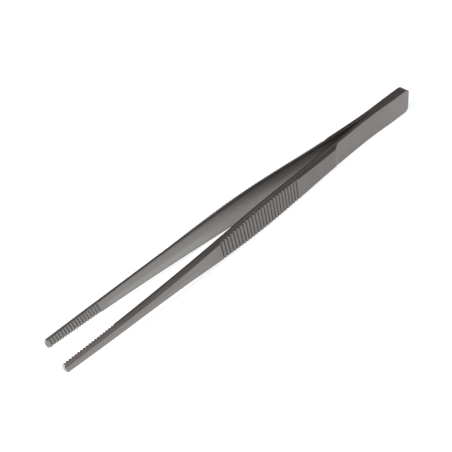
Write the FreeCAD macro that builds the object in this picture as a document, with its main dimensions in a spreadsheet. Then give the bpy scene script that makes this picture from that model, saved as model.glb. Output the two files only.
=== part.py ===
import FreeCAD, Part
import math
import os

# A pair of thumb forceps, also called dressing forceps: two forged spring steel
# arms, welded together and ground flush at the heel, with a ribbed thumb grip on
# each outer face and cross-cut teeth on the two inner faces at the tips.
#
# The arms are drawn with the heel at X = 0 and the tips along +X. They spread along
# Y, with Y = 0 midway between them, and the width of the blades runs along Z. The
# finished pair is placed as it lies on a table: on the edges of its blades, with
# its origin on the table below the middle of its length.

V = FreeCAD.Vector
doc = FreeCAD.newDocument("thumb_forceps")

# Driving sizes
# Millimetres. Each one can be changed by itself. What lies near the heel is
# measured from the heel, and what lies near the tips is measured from the tips.
SIZES = [
    ("overall_length", 145.0, "heel to tips"),
    ("weld_length", 15.5, "length over which the two arms are one"),
    ("heel_flat", 9.0, "length of the parallel flat at the heel"),
    ("heel_thickness", 1.64, "thickness of one arm at that flat"),
    ("weld_thickness", 1.50, "the same where the weld ends"),
    ("spring_thickness", 1.32, "thinnest place of the spring, just behind the shoulder"),
    ("shoulder_position", 37.4, "middle of the shoulder, from the heel"),
    ("shoulder_run", 2.4, "length over which the arm thickens at the shoulder"),
    ("shoulder_thickness", 2.06, "arm thickness in front of the shoulder"),
    ("grip_thickness", 1.75, "arm thickness at the grip"),
    ("shank_thickness", 1.56, "arm thickness halfway from the grip to the jaw"),
    ("jaw_thickness", 1.50, "arm thickness where the teeth begin"),
    ("tip_thickness", 1.42, "arm thickness at the tip"),
    ("half_gap_shoulder", 1.03, "inner face to the middle plane at the shoulder"),
    ("half_gap_grip_rear", 2.39, "the same at the heel end of the grip"),
    ("half_gap_grip_front", 3.98, "the same at the tip end of the grip"),
    ("half_gap_jaw", 4.84, "the same where the teeth begin"),
    ("half_gap_tip", 4.85, "the same at the tips"),
    ("heel_half_width", 4.86, "half the blade width at the heel"),
    ("spring_half_width", 4.64, "half the blade width in front of the shoulder"),
    ("grip_half_width", 5.06, "half the blade width at the middle of the grip"),
    ("grip_front_half_width", 4.15, "half the width at the tip end of the grip"),
    ("shank_half_width", 3.11, "half the width halfway from the grip to the jaw"),
    ("jaw_half_width", 2.27, "half the width where the teeth begin"),
    ("tip_half_width", 1.65, "half the width at the tips"),
    ("heel_corner_radius", 2.8, "rounding of the heel's corners, seen from the side"),
    ("heel_round", 1.4, "rounding from the outer face to the end of the heel"),
    ("tip_corner_radius", 1.3, "rounding of the tip's corners, seen from the side"),
    ("tip_nose_radius", 1.0, "rounding from the outer face to the end of the tip"),
    ("land_rear", 0.78, "flat of the blade edge beside the inner face, at the grip"),
    ("land_shank", 0.74, "the same halfway from the grip to the jaw"),
    ("land_front", 0.76, "the same at the jaw"),
    ("bevel_shoulder", 1.02, "height of the edge bevel at the shoulder"),
    ("bevel_grip", 0.64, "the same in the grip"),
    ("bevel_shank", 1.18, "the same halfway from the grip to the jaw"),
    ("bevel_jaw", 0.82, "the same where the teeth begin"),
    ("bevel_front", 0.52, "the same at the tip"),
    ("bevel_run", 2.2, "length over which the bevel runs out at the shoulder"),
    ("grip_start", 56.6, "first groove of the grip, from the heel"),
    ("ridge_count", 25, "ridges on each arm"),
    ("ridge_pitch", 1.286, "ridge to ridge"),
    ("ridge_depth", 0.34, "depth of the grooves between the ridges"),
    ("tooth_count", 18, "grooves across each jaw"),
    ("tooth_pitch", 0.936, "tooth to tooth"),
    ("tooth_depth", 0.34, "depth of the grooves between the teeth"),
    ("tooth_margin", 1.28, "last groove of the jaw, from the tip"),
]
sheet = doc.addObject("Spreadsheet::Sheet", "sizes")
for row, (name, value, note) in enumerate(SIZES, start=1):
    sheet.set("A%d" % row, name)
    sheet.set("B%d" % row, str(value))
    sheet.setAlias("B%d" % row, name)
    sheet.set("C%d" % row, note)
doc.recompute()


def size(name):
    return float(sheet.get(name))


# Places along the arm
# The grip's length follows from its ridges, and the jaw's from its teeth.
length = size("overall_length")
weld_end = size("weld_length")
shoulder = size("shoulder_position")
shoulder_run = size("shoulder_run")
grip_start = size("grip_start")
ridge_pitch = size("ridge_pitch")
ridge_count = int(size("ridge_count"))
grip_end = grip_start + ridge_count * ridge_pitch
tooth_pitch = size("tooth_pitch")
tooth_count = int(size("tooth_count"))
jaw_start = length - size("tooth_margin") - tooth_count * tooth_pitch
shank = (grip_end + jaw_start) / 2.0
grip_middle = grip_start + 0.4 * (grip_end - grip_start)


# Helpers for smooth lines
def spline(points, start=None, end=None):
    """A smooth curve through points, with directions at its ends if given."""
    curve = Part.BSplineCurve()
    vectors = [V(*p) for p in points]
    if start is None and end is None:
        curve.interpolate(Points=vectors)
        return curve
    first = V(*start) if start else vectors[1] - vectors[0]
    last = V(*end) if end else vectors[-1] - vectors[-2]
    curve.interpolate(Points=vectors, InitialTangent=first, FinalTangent=last)
    return curve


def law(points, start=None, end=None):
    """A smooth value along the arm, read as law(x)."""
    flat = [(x, value, 0.0) for x, value in points]
    return spline(flat, start, end)


def at(curve, x):
    """Height of a curve over x, found by halving, past its ends level."""
    low = curve.FirstParameter
    high = curve.LastParameter
    if x <= curve.value(low).x:
        return curve.value(low).y
    if x >= curve.value(high).x:
        return curve.value(high).y
    for step in range(50):
        middle = (low + high) / 2.0
        if curve.value(middle).x < x:
            low = middle
        else:
            high = middle
    return curve.value((low + high) / 2.0).y


# Plan of one arm
# The inner line leaves the middle plane at the end of the weld and opens smoothly
# to the tips. The outer line keeps the arm's thickness from it.
inner_line = spline([
    (weld_end, 0.0, 0.0),
    (shoulder, size("half_gap_shoulder"), 0.0),
    (grip_start, size("half_gap_grip_rear"), 0.0),
    (grip_end, size("half_gap_grip_front"), 0.0),
    (jaw_start, size("half_gap_jaw"), 0.0),
    (length, size("half_gap_tip"), 0.0),
], start=(1.0, 0.0, 0.0))
spring_end = shoulder - shoulder_run / 2.0
body_start = shoulder + shoulder_run / 2.0
spring_middle = (weld_end + spring_end) / 2.0
heel_flat = size("heel_flat")
spring_law = law([
    (heel_flat, size("heel_thickness")),
    (weld_end, size("weld_thickness")),
    (spring_middle, (size("weld_thickness") + size("spring_thickness")) / 2.0),
    (spring_end, size("spring_thickness")),
], start=(1.0, 0.0, 0.0))
body_law = law([
    (body_start, size("shoulder_thickness")),
    (grip_middle, size("grip_thickness")),
    (grip_end, size("grip_thickness")),
    (shank, size("shank_thickness")),
    (jaw_start, size("jaw_thickness")),
    (length, size("tip_thickness")),
])


def thickness(x):
    """Arm thickness at x, with the shoulder as a smooth step."""
    if x <= spring_end:
        return at(spring_law, x)
    if x >= body_start:
        return at(body_law, x)
    share = (x - spring_end) / (body_start - spring_end)
    step = share * share * (3.0 - 2.0 * share)
    rear = at(spring_law, spring_end)
    front = at(body_law, body_start)
    return rear + (front - rear) * step


def inner(x):
    return at(inner_line, x) if x > weld_end else 0.0


def outer(x):
    return inner(x) + thickness(x)


def stations(first, last, count):
    return [first + (last - first) * i / (count - 1) for i in range(count)]


nose = size("tip_nose_radius")
inner_edge = inner_line.toShape()
weld_line = Part.makeLine(V(0, 0, 0), V(weld_end, 0, 0))
turn = math.sin(math.radians(45.0))
heel_round = size("heel_round")
heel_top = V(heel_round, outer(heel_round), 0)
heel_end = V(0, heel_top.y - heel_round, 0)
heel_mid = V(heel_round * (1.0 - turn), heel_top.y - heel_round * (1.0 - turn), 0)
heel_line = Part.makeLine(V(0, 0, 0), heel_end)
heel_arc = Part.Arc(heel_end, heel_mid, heel_top).toShape()
flat_line = Part.makeLine(heel_top, V(heel_flat, heel_top.y, 0))
weld_outer = spline([(x, outer(x), 0.0) for x in stations(heel_flat, weld_end, 4)],
                    start=(1.0, 0.0, 0.0))
weld_outer = weld_outer.toShape()
spring_outer = spline([(x, outer(x), 0.0) for x in stations(weld_end, spring_end, 5)])
shoulder_outer = spline([(x, outer(x), 0.0) for x in stations(spring_end, body_start, 6)])
nose_x = length - nose
body_outer = spline([(x, outer(x), 0.0) for x in stations(body_start, nose_x, 12)])
nose_top = V(nose_x, outer(nose_x), 0)
nose_end = V(length, outer(nose_x) - nose, 0)
nose_mid = V(nose_x + nose * turn, outer(nose_x) - nose * (1.0 - turn), 0)
nose_arc = Part.Arc(nose_top, nose_mid, nose_end).toShape()
end_line = Part.makeLine(nose_end, V(length, inner(length), 0))
plan_wire = Part.Wire(Part.__sortEdges__([
    heel_line, heel_arc, flat_line, weld_outer, spring_outer.toShape(),
    shoulder_outer.toShape(),
    body_outer.toShape(), nose_arc, end_line, inner_edge, weld_line]))
plan = doc.addObject("Part::Feature", "arm_plan")
plan.Shape = Part.Face(plan_wire)

arm_bar = doc.addObject("Part::Extrusion", "arm_bar")
arm_bar.Base = plan
arm_bar.DirMode = "Custom"
arm_bar.Dir = V(0, 0, 1)
arm_bar.Symmetric = True
arm_bar.Solid = True
arm_bar.setExpression("LengthFwd", "2 * sizes.grip_half_width + 2")

# Width of the blade
# Nearly parallel from the heel through the shoulder, widest in the grip, then
# tapering to the tips. The corners at the heel and the tips are rounded.
heel_half = size("heel_half_width")
spring_half = size("spring_half_width")
width_start = shoulder + 2.0 * shoulder_run
width_law = law([
    (width_start, spring_half),
    (grip_middle, size("grip_half_width")),
    (grip_end, size("grip_front_half_width")),
    (shank, size("shank_half_width")),
    (jaw_start, size("jaw_half_width")),
    (length, size("tip_half_width")),
], start=(1.0, 0.0, 0.0))


def half_width(x):
    if x >= width_start:
        return at(width_law, x)
    return heel_half + (spring_half - heel_half) * x / width_start


def corner(x, z, radius, toward):
    """Quarter round between an end line and a side line."""
    a = V(x, 0, z - math.copysign(radius, z))
    b = V(x + toward * radius, 0, z)
    mid_x = x + toward * radius * (1.0 - turn)
    mid_z = z - math.copysign(radius * (1.0 - turn), z)
    return Part.Arc(a, V(mid_x, 0, mid_z), b).toShape()


heel_r = size("heel_corner_radius")
tip_r = size("tip_corner_radius")
heel_z = half_width(heel_r)
tip_z = half_width(length - tip_r)
side_points = stations(width_start, length - tip_r, 14)
width_edges = []
for sign in (1.0, -1.0):
    edge_line = spline([(x, 0.0, sign * half_width(x)) for x in side_points],
                       start=(1.0, 0.0, 0.0))
    width_edges.append(edge_line.toShape())
    width_edges.append(Part.makeLine(V(heel_r, 0, sign * heel_z),
                                     V(width_start, 0, sign * spring_half)))
    width_edges.append(corner(0.0, sign * heel_z, heel_r, 1.0))
    width_edges.append(corner(length, sign * tip_z, tip_r, -1.0))
width_edges.append(Part.makeLine(V(0, 0, heel_r - heel_z), V(0, 0, heel_z - heel_r)))
width_edges.append(Part.makeLine(V(length, 0, tip_r - tip_z), V(length, 0, tip_z - tip_r)))
width = doc.addObject("Part::Feature", "blade_outline")
width.Shape = Part.Face(Part.Wire(Part.__sortEdges__(width_edges)))

width_slab = doc.addObject("Part::Extrusion", "blade_slab")
width_slab.Base = width
width_slab.DirMode = "Custom"
width_slab.Dir = V(0, 1, 0)
width_slab.Symmetric = True
width_slab.Solid = True
width_slab.setExpression("LengthFwd", "4 * (sizes.half_gap_tip + sizes.shoulder_thickness)")

arm_blade = doc.addObject("Part::Common", "arm_blade")
arm_blade.Base = arm_bar
arm_blade.Tool = width_slab

# Edge bevels
# In front of the shoulder both edges are bevelled on the outer side. The bevel
# leaves a flat land beside the inner face, and runs out in an S at the shoulder.
land_law = law([
    (shoulder, size("land_rear")),
    (grip_middle, size("land_rear")),
    (shank, size("land_shank")),
    (jaw_start, size("land_front")),
    (length, size("land_front")),
])
bevel_law = law([
    (shoulder, size("bevel_shoulder")),
    (grip_middle, size("bevel_grip")),
    (grip_end, size("bevel_grip") + 0.1 * (size("bevel_shank") - size("bevel_grip"))),
    (shank, size("bevel_shank")),
    (jaw_start, size("bevel_jaw")),
    (length, size("bevel_front")),
])
bevel_run = size("bevel_run")
clear = 0.12


def bevel_section(x, depth):
    """Triangle outside the bevel at x; depth 0 leaves the corner whole."""
    y_face = outer(x)
    z_side = half_width(x)
    land = depth * at(land_law, x) + (1.0 - depth) * (thickness(x) + clear)
    drop = depth * at(bevel_law, x) - (1.0 - depth) * clear
    land_y = inner(x) + land
    a = V(x, land_y, z_side)
    b = V(x, y_face, z_side - drop)
    along = b - a
    reach = 0.6
    if along.Length < 1e-6:
        along = V(0, 1, -1)
    along.normalize()
    if depth < 1.0:
        full = V(0, thickness(x) - at(land_law, x), -at(bevel_law, x))
        full.normalize()
        along = full
        a = V(x, y_face + clear * (1 - depth), z_side) * (1 - depth) + V(x, land_y, z_side) * depth
        b = a + full * (drop if drop > 0.3 else 0.3)
    start = a - along * reach
    finish = b + along * reach
    out = V(x, max(start.y, finish.y), max(start.z, finish.z)) + V(0, 0.8, 0.8)
    return Part.makePolygon([start, finish, out, start])


def smooth_share(x, first, last):
    share = min(1.0, max(0.0, (x - first) / (last - first)))
    return share * share * (3.0 - 2.0 * share)


run_start = spring_end - 0.15
run_end = run_start + bevel_run
bevel_x = stations(run_start - 0.4, run_end + 0.4, 9)
bevel_x += stations(run_end + 3.0, length + 1.0, 20)
bevel_top = doc.addObject("Part::Feature", "bevel_top")
bevel_top.Shape = Part.makeLoft(
    [bevel_section(x, smooth_share(x, run_start, run_end)) for x in bevel_x], True, False)
bevel_bottom = doc.addObject("Part::Mirroring", "bevel_bottom")
bevel_bottom.Source = bevel_top
bevel_bottom.Base = V(0, 0, 0)
bevel_bottom.Normal = V(0, 0, 1)

# Combs
# A comb is the space outside a row of rounded ridges. Its lower side is a wave of
# tangent arcs: narrow grooves and wider, rounded ridges.
RIDGE_SHARE = 0.60
SKIM = 0.02


def comb(face_y, outward, centres, pitch, depth):
    """Closed face of a comb that follows the line face_y(x)."""
    def point(x, down):
        slope = (face_y(x + 0.1) - face_y(x - 0.1)) / 0.2
        scale = 1.0 / math.hypot(1.0, slope)
        normal = V(-slope * scale, scale, 0) * outward
        return V(x, face_y(x), 0) - normal * down

    groove_half = pitch * (1.0 - RIDGE_SHARE) / 2.0
    level = SKIM + (depth - SKIM) * RIDGE_SHARE
    edges = []
    first = point(centres[0] - groove_half, level)
    rim = point(centres[0] - groove_half - 0.25 * pitch, -0.08)
    edges.append(Part.makeLine(rim, first))
    last = first
    for index, x in enumerate(centres):
        low = point(x, depth)
        up = point(x + groove_half, level)
        edges.append(Part.Arc(last, low, up).toShape())
        last = up
        if index + 1 < len(centres):
            top = point(x + pitch / 2.0, SKIM)
            down = point(centres[index + 1] - groove_half, level)
            edges.append(Part.Arc(up, top, down).toShape())
            last = down
    far_rim = point(centres[-1] + groove_half + 0.25 * pitch, -0.08)
    edges.append(Part.makeLine(last, far_rim))
    far_out = point(far_rim.x, -2.0)
    near_out = point(rim.x, -2.0)
    edges.append(Part.makeLine(far_rim, far_out))
    edges.append(Part.makeLine(far_out, near_out))
    edges.append(Part.makeLine(near_out, rim))
    return Part.Face(Part.Wire(Part.__sortEdges__(edges)))


def comb_solid(name, face):
    """A comb extruded over the whole blade width."""
    profile = doc.addObject("Part::Feature", name + "_profile")
    profile.Shape = face
    solid = doc.addObject("Part::Extrusion", name)
    solid.Base = profile
    solid.DirMode = "Custom"
    solid.Dir = V(0, 0, 1)
    solid.Symmetric = True
    solid.Solid = True
    solid.setExpression("LengthFwd", "2 * sizes.grip_half_width + 2")
    return solid


ridge_depth = size("ridge_depth")
grip_centres = [grip_start + i * ridge_pitch for i in range(ridge_count + 1)]
grip_comb = comb_solid("grip_comb", comb(outer, 1.0, grip_centres, ridge_pitch, ridge_depth))


def chain_cut(name, base, tools):
    result = base
    for number, tool in enumerate(tools, start=1):
        cut = doc.addObject("Part::Cut", "%s_%d" % (name, number))
        cut.Base = result
        cut.Tool = tool
        result = cut
    return result


arm = chain_cut("arm", arm_blade, [bevel_top, bevel_bottom, grip_comb])
mirrored_arm = doc.addObject("Part::Mirroring", "mirrored_arm")
mirrored_arm.Source = arm
mirrored_arm.Base = V(0, 0, 0)
mirrored_arm.Normal = V(0, 1, 0)

# Teeth
# Cross grooves on the inner faces at the tips. The two rows stand half a pitch
# apart, so the teeth of one jaw close into the grooves of the other.
tooth_depth = size("tooth_depth")
last_tooth = length - size("tooth_margin")
left_centres = [last_tooth - i * tooth_pitch for i in reversed(range(tooth_count))]
right_centres = [x - tooth_pitch / 2.0 for x in left_centres]


def right_inner(x):
    return -inner(x)


left_comb = comb_solid("left_tooth_comb",
                       comb(inner, -1.0, left_centres, tooth_pitch, tooth_depth))
right_comb = comb_solid("right_tooth_comb",
                        comb(right_inner, 1.0, right_centres, tooth_pitch, tooth_depth))
left_arm = chain_cut("left_arm", arm, [left_comb])
right_arm = chain_cut("right_arm", mirrored_arm, [right_comb])

# The welded pair
# The arms share the flat of the weld, which is ground flush, so no seam is left. The
# pair then lies on the lower edges of the grip, its widest place.
widest = max(half_width(x) for x in stations(width_start, grip_end, 81))
forceps = doc.addObject("Part::MultiFuse", "welded_pair")
forceps.Shapes = [left_arm, right_arm]
forceps.Refine = True
forceps.Label = "forceps"
forceps.Placement = FreeCAD.Placement(V(-length / 2.0, 0, widest), FreeCAD.Rotation())
doc.recompute()

# Checks before export
for item in doc.Objects:
    if "Invalid" in item.State or "Error" in item.State:
        raise RuntimeError("%s did not build: %s" % (item.Name, item.State))
    shape = getattr(item, "Shape", None)
    if shape is not None and (shape.isNull() or not shape.isValid()):
        raise RuntimeError("%s has no valid shape" % item.Name)
solids = forceps.Shape.Solids
if len(solids) != 1:
    raise RuntimeError("the forceps are %d solids" % len(solids))
box = forceps.Shape.optimalBoundingBox(True)
print("forceps", round(box.XLength, 2), "x", round(box.YLength, 2), "x", round(box.ZLength, 2),
      "mm, volume", round(forceps.Shape.Volume, 1), "faces", len(forceps.Shape.Faces))

os.makedirs("parts", exist_ok=True)
solids[0].exportStep("parts/forceps.step")
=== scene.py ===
# %% [markdown]
# # Thumb forceps in satin steel
# This lesson dresses one solid from the CAD model: a pair of thumb forceps that lies
# on the edges of its blades. The steel is one continuous skin, so the whole look rests
# on three things: a clean profile, small roundings that catch the light, and a finish
# that is neither mirror nor matt. The frame comes first.

# %% Load the frame
import math
import bpy
import bmesh
import numpy as np
from mathutils import Matrix, Vector


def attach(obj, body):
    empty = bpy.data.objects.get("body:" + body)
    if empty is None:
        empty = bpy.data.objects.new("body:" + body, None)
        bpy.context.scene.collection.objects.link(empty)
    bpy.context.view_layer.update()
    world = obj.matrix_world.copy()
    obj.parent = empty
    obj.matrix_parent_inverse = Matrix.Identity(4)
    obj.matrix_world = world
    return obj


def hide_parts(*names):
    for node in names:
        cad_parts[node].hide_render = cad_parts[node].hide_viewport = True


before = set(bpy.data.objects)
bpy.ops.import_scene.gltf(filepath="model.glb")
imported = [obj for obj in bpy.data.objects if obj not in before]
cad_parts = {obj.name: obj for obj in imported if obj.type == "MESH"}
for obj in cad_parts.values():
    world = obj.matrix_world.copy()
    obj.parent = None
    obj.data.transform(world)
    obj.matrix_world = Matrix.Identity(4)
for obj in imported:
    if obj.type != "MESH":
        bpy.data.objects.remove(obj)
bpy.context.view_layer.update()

# %% [markdown]
# ## Sizes
# A maker works from a drawing, and so does this scene. The sizes are in millimetres
# and are measured from the heel, along the forceps. They are the solid's own sizes, so
# the dressed skin stays where the solid is. Three things differ a little: corners are
# rounded, the grooves are slightly deeper, and the heel's corner is slightly softer.

# %% Drawing sizes
LENGTH = 145.0
WELD_END = 15.5
HEEL_FLAT = 9.0
HEEL_THICKNESS = 1.64
WELD_THICKNESS = 1.50
SHOULDER = 37.4
SHOULDER_RUN = 2.4
GRIP_START = 56.6
RIDGES = 25
RIDGE_PITCH = 1.286
RIDGE_DEPTH = 0.38
TEETH = 18
TOOTH_PITCH = 0.936
TOOTH_DEPTH = 0.40
TOOTH_MARGIN = 1.28
HEEL_CORNER = 3.3
HEEL_ROUND = 1.4
HEEL_HALF_WIDTH = 4.86
SHOULDER_HALF_WIDTH = 4.64
TIP_CORNER = 1.3
TIP_NOSE = 1.0
TABLE_HEIGHT = 5.08

grip_end = GRIP_START + RIDGES * RIDGE_PITCH
grip_middle = GRIP_START + 0.4 * (grip_end - GRIP_START)
jaw_start = LENGTH - TOOTH_MARGIN - TEETH * TOOTH_PITCH
shank = (grip_end + jaw_start) / 2
spring_end = SHOULDER - SHOULDER_RUN / 2
body_start = SHOULDER + SHOULDER_RUN / 2
print("grip ends at", round(grip_end, 2), "and the jaw starts at", round(jaw_start, 2))

# %% [markdown]
# ## Smooth lines through a few sizes
# Between the places where the drawing gives a size, the blade runs in one smooth
# sweep. A cubic spline through those few sizes gives that sweep. Straight pieces
# would show as flats in the reflections, and a subdivision surface would drift off
# the sizes. The spline is solved once for its slopes and then read at any place.


# %% Spline law
class Law:
    """A smooth value along the forceps, through sizes given at a few places."""

    def __init__(self, *knots, level_start=False):
        self.x = np.array([k[0] for k in knots])
        self.v = np.array([k[1] for k in knots])
        count = len(knots)
        step = np.diff(self.x)
        rise = np.diff(self.v) / step
        matrix = np.zeros((count, count))
        side = np.zeros(count)
        for i in range(1, count - 1):
            matrix[i, i - 1] = step[i]
            matrix[i, i] = 2 * (step[i - 1] + step[i])
            matrix[i, i + 1] = step[i - 1]
            side[i] = 3 * (step[i] * rise[i - 1] + step[i - 1] * rise[i])
        matrix[0, 0] = 1 if level_start else 2
        matrix[0, 1] = 0 if level_start else 1
        side[0] = 0 if level_start else 3 * rise[0]
        matrix[-1, -1] = 2
        matrix[-1, -2] = 1
        side[-1] = 3 * rise[-1]
        self.slope = np.linalg.solve(matrix, side)

    def __call__(self, x):
        x = min(max(x, self.x[0]), self.x[-1])
        i = min(int(np.searchsorted(self.x, x, side="right")) - 1, len(self.x) - 2)
        width = self.x[i + 1] - self.x[i]
        t = (x - self.x[i]) / width
        a, b = self.v[i], self.v[i + 1]
        p, q = self.slope[i] * width, self.slope[i + 1] * width
        return a + p * t + (3 * (b - a) - 2 * p - q) * t**2 + (2 * (a - b) + p + q) * t**3


def ease(x, first, last):
    """Smooth step from 0 at first to 1 at last."""
    share = min(1.0, max(0.0, (x - first) / (last - first)))
    return share * share * (3 - 2 * share)


# %% [markdown]
# ## The lines of one arm
# Four lines make the arm: its inner face, its thickness, its blade width, and the
# bevel along each blade edge. The thin part behind the shoulder is the spring. In
# front of it the arm is thicker and bevelled, and it tapers to the tip.

# %% Lines of the arm
width_start = SHOULDER + 2 * SHOULDER_RUN
inner_law = Law((WELD_END, 0.0), (SHOULDER, 1.03), (GRIP_START, 2.39), (grip_end, 3.98),
                (jaw_start, 4.84), (LENGTH, 4.85), level_start=True)
spring_law = Law((HEEL_FLAT, HEEL_THICKNESS), (WELD_END, WELD_THICKNESS),
                 ((WELD_END + spring_end) / 2, 1.41), (spring_end, 1.32), level_start=True)
body_law = Law((body_start, 2.06), (grip_middle, 1.75), (grip_end, 1.74), (shank, 1.56),
               (jaw_start, 1.50), (LENGTH, 1.42))
width_law = Law((width_start, SHOULDER_HALF_WIDTH), (grip_middle, 5.06), (grip_end, 4.15),
                (shank, 3.11), (jaw_start, 2.27), (LENGTH, 1.65), level_start=True)
land_law = Law((SHOULDER, 0.78), (grip_middle, 0.78), (shank, 0.74), (jaw_start, 0.76),
               (LENGTH, 0.76))
bevel_law = Law((SHOULDER, 1.02), (grip_middle, 0.64), (grip_end, 0.69), (shank, 1.18),
                (jaw_start, 0.82), (LENGTH, 0.52))


def inner(x):
    return inner_law(x) if x > WELD_END else 0.0


def thickness(x):
    step = ease(x, spring_end, body_start)
    return spring_law(x) + (body_law(x) - spring_law(x)) * step


def half_width(x):
    if x > width_start:
        return width_law(x)
    return HEEL_HALF_WIDTH + (SHOULDER_HALF_WIDTH - HEEL_HALF_WIDTH) * x / width_start


for place in (0, 30, 45, 70, 100, 130, 145):
    print(place, "inner", round(inner(place), 2), "thick", round(thickness(place), 2),
          "half width", round(half_width(place), 2))

# %% [markdown]
# ## Ridges and teeth
# The thumb grip and the jaws are both cut with a form tool, which leaves a wave:
# narrow grooves with wider, rounded ridges between them. The depth of that wave is a
# function of the place along the arm, so the cut can be real geometry. A bump map
# would look right head on, but the edge of the blade would stay straight, and the
# notched edge is what the eye reads first.


# %% Wave of grooves
RIDGE_SHARE = 0.60
CREST_DROP = 0.02
END_SOFTNESS = 0.08


def wave(x, first, pitch, count, depth):
    """Depth of the cut at x for a row of grooves."""
    groove = pitch * (1 - RIDGE_SHARE) / 2
    level = CREST_DROP + (depth - CREST_DROP) * RIDGE_SHARE
    index = round((x - first) / pitch)
    index = min(max(index, 0), count - 1)
    away = abs(x - first - index * pitch)
    if away <= groove:
        return depth - (depth - level) * (away / groove) ** 2
    outside = x < first or x > first + (count - 1) * pitch
    if outside:
        ramp = 0.25 * pitch * level / (level + END_SOFTNESS)
        return max(0.0, level * (1 - (away - groove) / ramp))
    to_ridge = abs(pitch / 2 - away)
    return CREST_DROP + (level - CREST_DROP) * (to_ridge / (pitch / 2 - groove)) ** 2


def grip_cut(x):
    return wave(x, GRIP_START, RIDGE_PITCH, RIDGES + 1, RIDGE_DEPTH)


last_tooth = LENGTH - TOOTH_MARGIN


def tooth_cut(x, shift):
    """Cut of a jaw; the other jaw is half a tooth further back."""
    first = last_tooth - (TEETH - 1) * TOOTH_PITCH - shift
    return wave(x, first, TOOTH_PITCH, TEETH, TOOTH_DEPTH)


print("grip cut", [round(grip_cut(GRIP_START + k * RIDGE_PITCH / 10), 3) for k in range(6)])

# %% [markdown]
# ## The section of a blade
# At each place the blade is a flat bar with its two outer corners bevelled. The
# corners are broken by hand polishing, so each gets a small arc. The ring of points
# always has the same number of points in the same order, so neighbouring rings join
# into clean quads. Where a groove passes, the ring is cut off flat at the groove's
# depth, just as the form tool does it. The land is the narrow edge between the inner
# face and the bevel, and the crown is the slight swell of the outer face.


# %% Rounded corner
LONGEST_REACH = 0.45


def arc_points(before, corner, after, radius, count):
    """Points of a rounding between two straight lines that meet at corner."""
    a = before - corner
    b = after - corner
    la, lb = np.linalg.norm(a), np.linalg.norm(b)
    a, b = a / la, b / lb
    half = math.acos(max(-1.0, min(1.0, float(a @ b)))) / 2
    reach = min(radius / math.tan(half), LONGEST_REACH * la, LONGEST_REACH * lb)
    radius = reach * math.tan(half)
    middle = a + b
    middle /= np.linalg.norm(middle)
    centre = corner + middle * (radius / math.sin(half))
    start = corner + a * reach - centre
    finish = corner + b * reach - centre
    turn = math.pi - 2 * half
    points = []
    for i in range(count):
        t = i / (count - 1)
        w0 = math.sin((1 - t) * turn) / math.sin(turn)
        w1 = math.sin(t * turn) / math.sin(turn)
        points.append(centre + start * w0 + finish * w1)
    return points


def quarter(radius, past):
    """Height of a quarter circle of this radius, at past from its middle."""
    return math.sqrt(max(0.0, radius**2 - past**2))


print("a quarter circle of 1 mm, half way:", round(quarter(1.0, 0.5), 3))

# %% Sizes of the section
# Roundings of the edges, and the swell of the outer face
EDGE_ROUND = 0.05
JAW_ROUND = 0.02
JAW_RISE = 8.0
LAND_ROUND = 0.12
CORNER_ROUND = 0.10
BODY_ROUND = 0.06
TIP_EDGE = 0.22
CROWN = 0.10
CROWN_SINK = 0.02
# Land and bevel of the square spring, and the run-out into the bevelled part
SQUARE_LAND = 0.92
SQUARE_BEVEL = 0.10
RUN_OUT_BEFORE = 0.15
RUN_OUT_AFTER = 2.05
# Smallest steps, so that no corners of a section meet
LEAST_STEP = 0.04
PLAIN_STEP = 0.05
LEAST_STEEL = 0.3

# Points along each stretch of a ring
INNER_STEPS = (0.0, 0.2, 0.4, 0.6, 0.78)
LAND_STEP = 0.6
BEVEL_STEPS = (0.3, 0.45, 0.6, 0.75)
OUTER_STEPS = (0.8, 0.6, 0.4, 0.2, 0.0)
EDGE_ARC = 6
LAND_ARC = 3
CORNER_ARC = 6

edge_start = len(INNER_STEPS)
land_start = edge_start + EDGE_ARC
corner_start = land_start + 1 + LAND_ARC + len(BEVEL_STEPS)
outer_start = corner_start + CORNER_ARC - 1
print("ring points: edge from", edge_start, "land from", land_start, "corner from",
      corner_start, "outer face from", outer_start)


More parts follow.
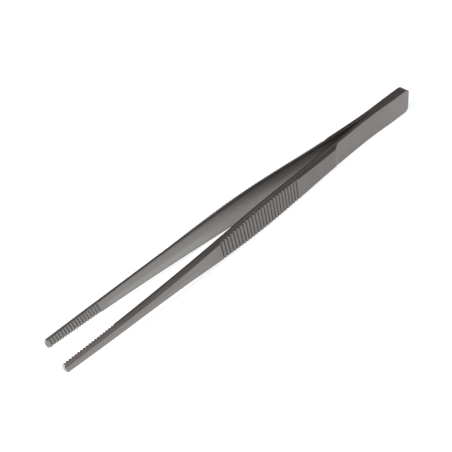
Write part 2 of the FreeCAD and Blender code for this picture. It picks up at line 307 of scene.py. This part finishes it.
# %% Section ring
def half_ring(x, shift):
    """Upper half of the section at x, from the middle of the inner face outwards."""
    yi = inner(x)
    thick = thickness(x)
    full = half_width(x)
    run_out = ease(x, spring_end - RUN_OUT_BEFORE, spring_end + RUN_OUT_AFTER)
    land = SQUARE_LAND * thick + (land_law(x) - SQUARE_LAND * thick) * run_out
    drop = SQUARE_BEVEL + (bevel_law(x) - SQUARE_BEVEL) * run_out
    top = full
    out = yi + thick
    if x < HEEL_CORNER:
        top = full - HEEL_CORNER + quarter(HEEL_CORNER, HEEL_CORNER - x)
    if x > LENGTH - TIP_CORNER:
        top = full - TIP_CORNER + quarter(TIP_CORNER, x - (LENGTH - TIP_CORNER))
    if x < HEEL_ROUND:
        out -= HEEL_ROUND - quarter(HEEL_ROUND, HEEL_ROUND - x)
    if x > LENGTH - TIP_NOSE:
        out -= TIP_NOSE - quarter(TIP_NOSE, x - (LENGTH - TIP_NOSE))
    if x > LENGTH - TIP_EDGE:
        yi += TIP_EDGE - quarter(TIP_EDGE, x - (LENGTH - TIP_EDGE))
    slope = (thick - land) / drop
    land_y = inner(x) + land + slope * (full - top)
    land_y = min(land_y, out - LEAST_STEP)
    side_z = top - PLAIN_STEP
    if slope > 1e-6:
        side_z = full - (out - inner(x) - land) / slope
    side_z = min(side_z, top - LEAST_STEP)
    jaw = ease(x, jaw_start - JAW_RISE, jaw_start)
    inner_round = EDGE_ROUND + JAW_ROUND * jaw if x > WELD_END else 0.0
    corner_round = CORNER_ROUND + BODY_ROUND * run_out
    swell = CROWN * run_out / 2
    # The corners, from the middle of the inner face to the middle of the outer face
    a = np.array([yi, 0.0])
    b = np.array([yi, top])
    c = np.array([land_y, top])
    d = np.array([out, side_z])
    e = np.array([out + swell, 0.0])
    ring = [a + (b - a) * t for t in INNER_STEPS]
    ring += arc_points(a, b, c, inner_round, EDGE_ARC)
    ring += [b + (c - b) * LAND_STEP]
    ring += arc_points(b, c, d, LAND_ROUND, LAND_ARC)
    ring += [c + (d - c) * t for t in BEVEL_STEPS]
    ring += arc_points(c, d, e, corner_round, CORNER_ARC)
    reach = side_z - corner_round
    for t in OUTER_STEPS:
        bulge = swell * (1 - t * t) - CROWN_SINK * run_out
        ring.append(np.array([out + bulge, reach * t]))
    ring = np.array(ring)
    if x > WELD_END:
        floor = np.minimum(yi + tooth_cut(x, shift), out - LEAST_STEEL)
        ring[:, 0] = np.maximum(ring[:, 0], floor)
    cut = grip_cut(x)
    ceiling = out - cut + (swell if cut == 0 else 0)
    ring[:, 0] = np.minimum(ring[:, 0], ceiling)
    return ring


def full_ring(x, shift):
    """Closed section: the upper half, then its mirror image back to the start."""
    upper = half_ring(x, shift)
    lower = upper[::-1].copy()
    lower[:, 1] *= -1
    return np.vstack([upper, lower[1:-1]])


ring_size = len(full_ring(shank, 0.0))
print("points in a ring:", ring_size)

# %% [markdown]
# ## Where the rings stand
# Rings stand close together only where the shape changes fast: at the rounded ends,
# over the shoulder, and ten or so to each ridge and tooth. Between those places the
# blade is nearly straight and a ring every few millimetres is enough.


# %% Ring places
END_RINGS = 12
WELD_RINGS = 8
SPRING_RINGS = 14
SHOULDER_RINGS = 26
PLATE_RINGS = 8
SHANK_RINGS = 24
RIDGE_STEPS = 11
TOOTH_STEPS = 9
HEEL_EXTRA = [0.06, 0.22, 0.4]
TIP_EXTRA = [0.06, 0.22]
SHOULDER_BEFORE = 0.4
SHOULDER_AFTER = 0.6
LEAST_GAP = 0.02


def places(shift):
    """Sorted ring places along one arm."""
    turns = np.linspace(0.0, math.pi / 2, END_RINGS)
    spots = HEEL_EXTRA + [LENGTH - extra for extra in TIP_EXTRA]
    spots += [HEEL_CORNER * (1 - math.cos(a)) for a in turns]
    spots += [LENGTH - TIP_CORNER * (1 - math.cos(a)) for a in turns]
    shoulder_from = spring_end - SHOULDER_BEFORE
    shoulder_to = body_start + SHOULDER_AFTER
    grip_from = GRIP_START - RIDGE_PITCH / 2
    grip_to = grip_end + RIDGE_PITCH / 2
    jaw_from = last_tooth - (TEETH - 0.5) * TOOTH_PITCH - shift
    jaw_to = last_tooth + TOOTH_PITCH / 2 - shift
    stretches = (
        (HEEL_CORNER, WELD_END, WELD_RINGS),
        (WELD_END, shoulder_from, SPRING_RINGS),
        (shoulder_from, shoulder_to, SHOULDER_RINGS),
        (shoulder_to, GRIP_START - RIDGE_PITCH, PLATE_RINGS),
        (grip_from, grip_to, (RIDGES + 1) * RIDGE_STEPS + 1),
        (grip_to, jaw_from, SHANK_RINGS),
        (jaw_from, jaw_to, TEETH * TOOTH_STEPS + 1),
    )
    for first, last, count in stretches:
        spots += list(np.linspace(first, last, count))
    spots = sorted(spots)
    kept = [spots[0]]
    for spot in spots[1:]:
        if spot - kept[-1] > LEAST_GAP:
            kept.append(spot)
    kept[-1] = LENGTH
    return kept


print("rings on one arm:", len(places(0.0)))

# %% [markdown]
# ## Painted light and shade on the steel
# Most of the colours kept here are painted light and shade. Painted shade darkens the
# grip's groove bottoms, the tooth notches, the inner edges, the far land between the weld
# and the grip, the outer face from the heel to the grip and the upper outer face of the
# shank. Painted light lifts the inner faces, the lower outer face of the shank, the lands
# and bevels by the tip and each nose. An image would hold that too, but it would need an
# unwrapped skin. Here each point of the skin keeps a colour of its own, worked out from
# its place, and the finish is multiplied by it. A cast tints the bevels faintly straw and
# the inner faces faintly cool. A RISE or a FADE is the stretch over which such a colour
# comes in or goes out, in millimetres from the heel.

# %% Strength and reach of the tones
# Strengths of the painted shade and painted light, then the faint casts
GROOVE_PAINTED_SHADE = 0.66
GROOVE_POWER = 5
TOOTH_PAINTED_SHADE = 0.30
TOOTH_POWER = 3
JAW_PAINTED_LIGHT = 0.26
NOTCH_EDGE_PAINTED_SHADE = 0.45
CORNER_PAINTED_SHADE = 0.50
FAR_CORNER_PAINTED_SHADE = CORNER_PAINTED_SHADE / 4
NOSE_PAINTED_HIGHLIGHT = 0.70
FAR_LAND_PAINTED_SHADE = 0.25
TIP_LAND_PAINTED_LIGHT = 0.65
PLATE_PAINTED_SHADE = 0.12
SPRING_PAINTED_SHADE = 0.12
SHANK_PAINTED_SHADE = 0.06
INNER_SPRING_PAINTED_LIGHT = 0.65
INNER_PAINTED_LIGHT = 0.30
UPPER_INNER_PAINTED_LIGHT = INNER_PAINTED_LIGHT / 4
PLAIN_CAST = (1.0, 1.0, 1.0)
COOL_CAST = (0.96, 1.0, 1.0)
STRAW_CAST = (1.0, 0.98, 0.96)

# Stretches over which the painted light and shade come in and go out
SPRING_RISE = (2.0, 20.0)
REAR_RISE = (WELD_END, SHOULDER)
INNER_SPRING_LIGHT_FADE = (34.0, 60.0)
STEP_RISE = (spring_end, body_start)
PLATE_FADE = (48.0, 62.0)
GRIP_FADE = (GRIP_START, grip_end)
REAR_SHADE_FADE = (grip_end, grip_end + 8.0)
FRONT_RISE = (76.0, 96.0)
SHANK_RISE = (grip_end, shank)
SHANK_FADE = (105.0, 130.0)
TIP_RISE = (118.0, 143.0)
FRONT_FADE = (jaw_start - 4.0, jaw_start)
JAW_LIGHT_RISE = (jaw_start - 0.6, jaw_start + 0.6)
# Where the painted shade on the outer face of the grip has faded out
print("the duller steel ends at", round(REAR_SHADE_FADE[1], 1))


# %% Tone at a point
def tint_and_painted_light(k, x, side, shift):
    """Painted light and shade, with a faint cast, at a point of a ring, as a colour that multiplies
    the finish.
    """
    low = k > ring_size / 2
    k = min(k, ring_size - k)
    light = 1.0
    cast = PLAIN_CAST
    # Painted shade in the groove bottoms of the grip, on the corner and the outer face
    if k >= corner_start:
        light -= GROOVE_PAINTED_SHADE * (grip_cut(x) / RIDGE_DEPTH) ** GROOVE_POWER
    # Painted shade on the outer face from the heel to the grip, deeper across the plate
    if k >= outer_start:
        light -= SPRING_PAINTED_SHADE * ease(x, *SPRING_RISE) * (1 - ease(x, *REAR_SHADE_FADE))
        light -= PLATE_PAINTED_SHADE * ease(x, *STEP_RISE) * (1 - ease(x, *PLATE_FADE))
        # On the shank, painted shade darkens the upper half of the outer face and painted light
        # lifts the lower half
        upper = 1 - ease(x, *SHANK_FADE)
        light += (SHANK_PAINTED_SHADE if low else -SHANK_PAINTED_SHADE * upper) * ease(x, *SHANK_RISE)
    # Painted shade in the tooth notches, on the inner face and on the inner edge
    if k < land_start and x > WELD_END:
        notch = (tooth_cut(x, shift) / TOOTH_DEPTH) ** TOOTH_POWER
        if k < edge_start:
            cast = COOL_CAST
            # Painted light on the inner face by the spring and in the jaw, and on its lower half in
            # front of the grip
            light += INNER_SPRING_PAINTED_LIGHT * (1 - ease(x, *INNER_SPRING_LIGHT_FADE)) - TOOTH_PAINTED_SHADE * notch
            light += JAW_PAINTED_LIGHT * ease(x, *JAW_LIGHT_RISE)
            front = ease(x, *FRONT_RISE) * (1 - ease(x, *FRONT_FADE))
            light += (INNER_PAINTED_LIGHT if low else UPPER_INNER_PAINTED_LIGHT) * front
        else:
            # Painted shade along the inner edge, strong on the near arm and faint on the far arm
            corner = CORNER_PAINTED_SHADE if side > 0 else FAR_CORNER_PAINTED_SHADE
            light -= NOTCH_EDGE_PAINTED_SHADE * notch + corner * ease(x, *REAR_RISE)
    if edge_start <= k < corner_start:
        cast = STRAW_CAST
        # Painted shade on the far arm's land and bevel between the weld and the grip
        if side < 0:
            light -= FAR_LAND_PAINTED_SHADE * (ease(x, *REAR_RISE) * (1 - ease(x, *GRIP_FADE)))
    # Painted light on the lands and bevels towards the tip
    if land_start <= k < corner_start:
        light += TIP_LAND_PAINTED_LIGHT * ease(x, *TIP_RISE)
    # Painted highlight, lighter and cooler, on the nose of each tip
    if x > LENGTH - 0.5 * TIP_NOSE and k >= edge_start:
        light += NOSE_PAINTED_HIGHLIGHT
        cast = COOL_CAST
    return (light * cast[0], light * cast[1], light * cast[2], 1.0)


print("tone in a groove:", round(tint_and_painted_light(outer_start, GRIP_START, 1, 0.0)[0], 2))

# %% [markdown]
# ## One skin for both arms
# The arms are welded at the heel and ground flush, so the skin has no seam there.
# Each arm is a tube of rings. Over the weld the faces that would lie inside the steel
# are left out, and the two arms are joined along their shared edges. What is left is
# one closed surface, which a check on its edges proves.


# %% Arm and end cap
def add_arm(bm, tint_and_painted_light_layer, side, shift):
    """Add one arm as a tube of rings. side is 1 or -1 along Y."""
    spots = places(shift)
    rings = []
    for x in spots:
        ring = []
        for k, (y, z) in enumerate(full_ring(x, shift)):
            vert = bm.verts.new(((x - LENGTH / 2) / 1000, side * y / 1000,
                                 (z + TABLE_HEIGHT) / 1000))
            # Each point keeps its painted light and shade, with its cast
            vert[tint_and_painted_light_layer] = tint_and_painted_light(k, x, side, shift)
            ring.append(vert)
        rings.append(ring)
    inside = [k for k in range(ring_size) if k < land_start or k > ring_size - land_start]
    for i in range(len(rings) - 1):
        for k in range(ring_size):
            n = (k + 1) % ring_size
            if k in inside and n in inside and spots[i + 1] <= WELD_END + 1e-6:
                continue
            face = (rings[i][k], rings[i][n], rings[i + 1][n], rings[i + 1][k])
            bm.faces.new(face if side > 0 else face[::-1])
    return rings


def cap(bm, ring, flip, first=0):
    """Close the end of a tube with strips between its upper and lower halves."""
    size = len(ring)
    half = size // 2
    for k in range(first, half):
        low, low_next = ring[-k % size], ring[(-k - 1) % size]
        up, up_next = ring[k], ring[k + 1]
        corners = []
        for v in (up, up_next, low_next, low):
            if v not in corners:
                corners.append(v)
        if len(corners) > 2:
            bm.faces.new(corners[::-1] if flip else corners)


print("end cap from point", land_start - 1, "at the heel and 0 at the tip")

# %% Skin of the forceps
SHARP_DEGREES = 42
ON_SEAM = 1e-8
JOIN_WITHIN = 1e-7

bm = bmesh.new()
# A colour per point that holds painted light and shade, with faint casts
tint_and_painted_light_layer = bm.verts.layers.float_color.new("tint_and_painted_light")
left_rings = add_arm(bm, tint_and_painted_light_layer, 1, 0.0)
right_rings = add_arm(bm, tint_and_painted_light_layer, -1, TOOTH_PITCH / 2)
cap(bm, left_rings[0], False, land_start - 1)
cap(bm, right_rings[0], True, land_start - 1)
cap(bm, left_rings[-1], True)
cap(bm, right_rings[-1], False)
weld_verts = [v for v in bm.verts if abs(v.co.y) < ON_SEAM]
bmesh.ops.remove_doubles(bm, verts=weld_verts, dist=JOIN_WITHIN)
loose = [v for v in bm.verts if not v.link_faces]
bmesh.ops.delete(bm, geom=loose, context="VERTS")
bmesh.ops.recalc_face_normals(bm, faces=bm.faces)
open_edges = [e for e in bm.edges if len(e.link_faces) != 2]
mesh = bpy.data.meshes.new("forceps_skin")
bm.to_mesh(mesh)
bm.free()
forceps_skin = bpy.data.objects.new("forceps_skin", mesh)
bpy.context.scene.collection.objects.link(forceps_skin)
mesh.shade_smooth()
mesh.set_sharp_from_angle(angle=math.radians(SHARP_DEGREES))
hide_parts("forceps")
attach(forceps_skin, "root")
print("faces", len(mesh.polygons), "open edges", len(open_edges))

# %% [markdown]
# ## Shader sums in plain Python
# Shader maths is easier to read as an expression than as a chain of nodes. A small
# class wraps a socket, and a sum or a product of such values adds the Math nodes. Any
# other node comes from one method that takes its type, its settings and its inputs.


# %% Socket wrapper
class Value:
    """A shader socket that can be added, multiplied and so on."""

    def __init__(self, tree, socket):
        self.tree = tree
        self.socket = socket

    def math(self, operation, other=None, swap=False):
        node = self.tree.nodes.new("ShaderNodeMath")
        node.operation = operation
        pair = [self, other]
        if swap:
            pair.reverse()
        for slot, item in zip(node.inputs, pair):
            if isinstance(item, Value):
                self.tree.links.new(item.socket, slot)
            elif item is not None:
                slot.default_value = item
        return Value(self.tree, node.outputs[0])

    def __add__(self, other):
        return self.math("ADD", other)

    def __radd__(self, other):
        return self.math("ADD", other, swap=True)

    def __mul__(self, other):
        return self.math("MULTIPLY", other)

    def __rmul__(self, other):
        return self.math("MULTIPLY", other, swap=True)


class Shader:
    """A material's node tree with one method that makes any node."""

    def __init__(self, name):
        self.material = bpy.data.materials.new(name)
        self.material.use_nodes = True
        self.tree = self.material.node_tree
        self.tree.nodes.clear()
        self.output = self.tree.nodes.new("ShaderNodeOutputMaterial")

    def node(self, kind, settings=None, inputs=None, output=0):
        node = self.tree.nodes.new(kind)
        for name, value in (settings or {}).items():
            setattr(node, name, value)
        for name, value in (inputs or {}).items():
            slot = node.inputs[name]
            if isinstance(value, Value):
                self.tree.links.new(value.socket, slot)
            else:
                slot.default_value = value
        return Value(self.tree, node.outputs[output])

    def surface(self, shader):
        self.tree.links.new(shader.socket, self.output.inputs["Surface"])
        return self.material


# %% [markdown]
# ## Satin steel
# The steel is blasted and lightly brushed: grey, with soft reflections and faint marks
# along the blade. Clouds shift the roughness over centimetres, a finer mottle shifts the
# grey, streaks run along the blade, and a grain in the normal breaks up the highlights.
# The painted light and shade and the faint casts kept at each point then multiply the
# grey. A single grey would look like plastic.


# %% Satin steel finish
DARK_STEEL = (0.242, 0.228, 0.220, 1.0)
LIGHT_STEEL = (0.290, 0.273, 0.264, 1.0)
COLOUR_RESULT = 2


def satin_steel():
    steel = Shader("satin_steel_finish")
    place = steel.node("ShaderNodeTexCoord", output="Object")
    along = steel.node("ShaderNodeMapping", {}, {"Vector": place, "Scale": (60.0, 900.0, 900.0)})
    streaks = steel.node("ShaderNodeTexNoise", {}, {"Vector": along, "Scale": 1.0, "Detail": 4.0,
                                                    "Roughness": 0.6})
    clouds = steel.node("ShaderNodeTexNoise", {}, {"Vector": place, "Scale": 90.0, "Detail": 3.0})
    grain = steel.node("ShaderNodeTexNoise", {}, {"Vector": place, "Scale": 5200.0, "Detail": 2.0})
    # The painted light and shade kept at each point, with its faint cast
    painted_light_attribute = steel.node("ShaderNodeAttribute", {"attribute_name": "tint_and_painted_light"})
    mottle = steel.node("ShaderNodeTexNoise", {}, {"Vector": place, "Scale": 1400.0, "Detail": 3.0})
    tint = steel.node("ShaderNodeMix", {"data_type": "RGBA"},
                      {"Factor": 0.5 * clouds + 0.5 * mottle, "A": DARK_STEEL,
                       "B": LIGHT_STEEL}, output=COLOUR_RESULT)
    # The grey multiplied by that painted light and shade
    grey_with_painted_light = steel.node("ShaderNodeMix", {"data_type": "RGBA", "blend_type": "MULTIPLY"},
                      {"Factor": 1.0, "A": tint, "B": painted_light_attribute}, output=COLOUR_RESULT)
    rough = 0.28 + 0.06 * clouds + 0.06 * streaks
    height = 0.5 * grain + 0.5 * streaks
    normal = steel.node("ShaderNodeBump", {}, {"Height": height, "Strength": 0.10,
                                               "Distance": 0.00008})
    shader = steel.node("ShaderNodeBsdfPrincipled", {},
                        {"Base Color": grey_with_painted_light, "Roughness": rough, "Metallic": 0.88,
                         "Normal": normal})
    return steel.surface(shader)


steel_finish = satin_steel()
forceps_skin.data.materials.append(steel_finish)
for node_object in [o for o in bpy.data.objects if o.type == "MESH" and o.name == "forceps"]:
    node_object.data.materials.clear()
    node_object.data.materials.append(steel_finish)
print("finish on", forceps_skin.name)

# %% [markdown]
# ## Table and backdrop
# The forceps lie on a pale table that ends far away in a low wall, as in a light tent.
# The wall is low on purpose: the sides of the steel see the bright table and its upper
# faces see the dim room, which is what models the form. Most of the table's light is
# its own glow, seen by the eye and in the metal, so the shadow stays soft and faint.


# %% Pale table finish
PALE_COLOUR = (0.37, 0.41, 0.43, 1.0)
WHITE = (1.0, 1.0, 1.0, 1.0)
GLOW = 0.70
GLOW_TO_THE_EYE = 0.12


def pale_table():
    pale = Shader("pale_table_finish")
    seen = pale.node("ShaderNodeLightPath", output="Is Camera Ray")
    glossy = pale.node("ShaderNodeLightPath", output="Is Glossy Ray")
    through = pale.node("ShaderNodeLightPath", output="Is Transmission Ray")
    direct = seen.math("MAXIMUM", glossy).math("MAXIMUM", through)
    diffuse = pale.node("ShaderNodeBsdfDiffuse", {}, {"Color": PALE_COLOUR})
    strength = direct * GLOW + seen * GLOW_TO_THE_EYE
    glow = pale.node("ShaderNodeEmission", {}, {"Color": WHITE, "Strength": strength})
    both = pale.node("ShaderNodeAddShader", {}, {0: diffuse, 1: glow})
    return pale.surface(both)


table_finish = pale_table()
print("table finish", table_finish.name)

# %% Table
TABLE_SIDES = 96
TABLE_PROFILE = [(0.25, 0.0), (0.8, 0.0), (2.4, 0.0), (2.55, 0.05), (2.6, 0.40)]

bm = bmesh.new()
rings = []
for radius, height in TABLE_PROFILE:
    ring = [bm.verts.new((radius * math.cos(a), radius * math.sin(a), height))
            for a in np.linspace(0, 2 * math.pi, TABLE_SIDES, endpoint=False)]
    rings.append(ring)
bm.faces.new(rings[0])
for low, high in zip(rings, rings[1:]):
    for k in range(TABLE_SIDES):
        n = (k + 1) % TABLE_SIDES
        bm.faces.new((low[k], high[k], high[n], low[n]))
mesh = bpy.data.meshes.new("table")
bm.to_mesh(mesh)
bm.free()
mesh.shade_smooth()
table = bpy.data.objects.new("table", mesh)
bpy.context.scene.collection.objects.link(table)
table.data.materials.append(table_finish)
print("table radius", TABLE_PROFILE[-1][0], "m")

# %% [markdown]
# ## Light
# The key lamp stands at the tip end, half way up, and shows the ridges and teeth,
# because their flanks face it in turn. A weaker lamp fills beside it, one from the side
# lifts the bevels by the jaws, and one from the heel keeps the weld from going black. A
# small low lamp puts the bright edge on the rounded tips. The room itself is dim. Painted
# shade in the grooves and notches, painted light on the bevels by the tip and a painted
# highlight on each nose add to what the lamps do.

# %% Room
ROOM_COLOUR = (0.95, 0.97, 1.0, 1.0)
ROOM_STRENGTH = 0.08

world = bpy.data.worlds.new("room")
bpy.context.scene.world = world
world.use_nodes = True
background = world.node_tree.nodes["Background"]
background.inputs["Color"].default_value = ROOM_COLOUR
background.inputs["Strength"].default_value = ROOM_STRENGTH
print("room strength", ROOM_STRENGTH)

# %% Lamps
WARM = (1.0, 0.89, 0.85)
NEUTRAL = (1.0, 1.0, 1.0)


def area_lamp(name, place, size, power, colour, aim=(0.0, 0.0, 0.0)):
    """A square lamp at a place in metres, turned towards its aim."""
    lamp = bpy.data.lights.new(name, "AREA")
    lamp.shape = "SQUARE"
    lamp.size = size
    lamp.energy = power
    lamp.color = colour
    thing = bpy.data.objects.new(name, lamp)
    thing.location = place
    ahead = Vector(aim) - Vector(place)
    thing.rotation_euler = ahead.to_track_quat("-Z", "Y").to_euler()
    bpy.context.scene.collection.objects.link(thing)


area_lamp("key_lamp", (0.77, 0.0, 0.92), 0.6, 11.6, WARM)
area_lamp("fill_lamp", (0.80, 0.56, 0.68), 0.6, 2.8, WARM)
area_lamp("side_lamp", (0.12, 1.04, 0.58), 0.6, 0.4, NEUTRAL)
area_lamp("heel_lamp", (-0.60, 0.0, 1.04), 0.6, 1.2, WARM)
area_lamp("low_lamp", (0.42, -0.42, 0.083), 0.1, 0.6, NEUTRAL, aim=(0.05, 0.0, 0.0))

# %% [markdown]
# ## Camera
# The picture is taken from the tip end, from above and to the side of one arm, with a
# short portrait lens. The camera's own axes, and its place seen from the heel, are
# written out once, in the drawing's millimetres.

# %% Camera
LENS_PIXELS = 639.9
PICTURE = 452
SENSOR = 36.0
right = Vector((-0.7602, 0.62802, -0.16641))
down = Vector((0.55998, 0.50349, -0.65798))
ahead = Vector((-0.32944, -0.59338, -0.73442))
offset = Vector((63.087, -45.188, 223.597))
origin = -(right * offset.x + down * offset.y + ahead * offset.z)
origin += Vector((-LENGTH / 2, 0.0, TABLE_HEIGHT))
camera_data = bpy.data.cameras.new("camera")
camera_data.sensor_width = SENSOR
camera_data.lens = LENS_PIXELS / PICTURE * SENSOR
camera_data.clip_start = 0.01
camera = bpy.data.objects.new("camera", camera_data)
turn = Matrix((right, -down, -ahead)).transposed().to_4x4()
camera.matrix_world = Matrix.Translation(origin / 1000) @ turn
bpy.context.scene.collection.objects.link(camera)
bpy.context.scene.camera = camera
bpy.context.scene.view_settings.view_transform = "Standard"
print("lens", round(camera_data.lens, 1), "mm at", [round(v, 1) for v in origin])
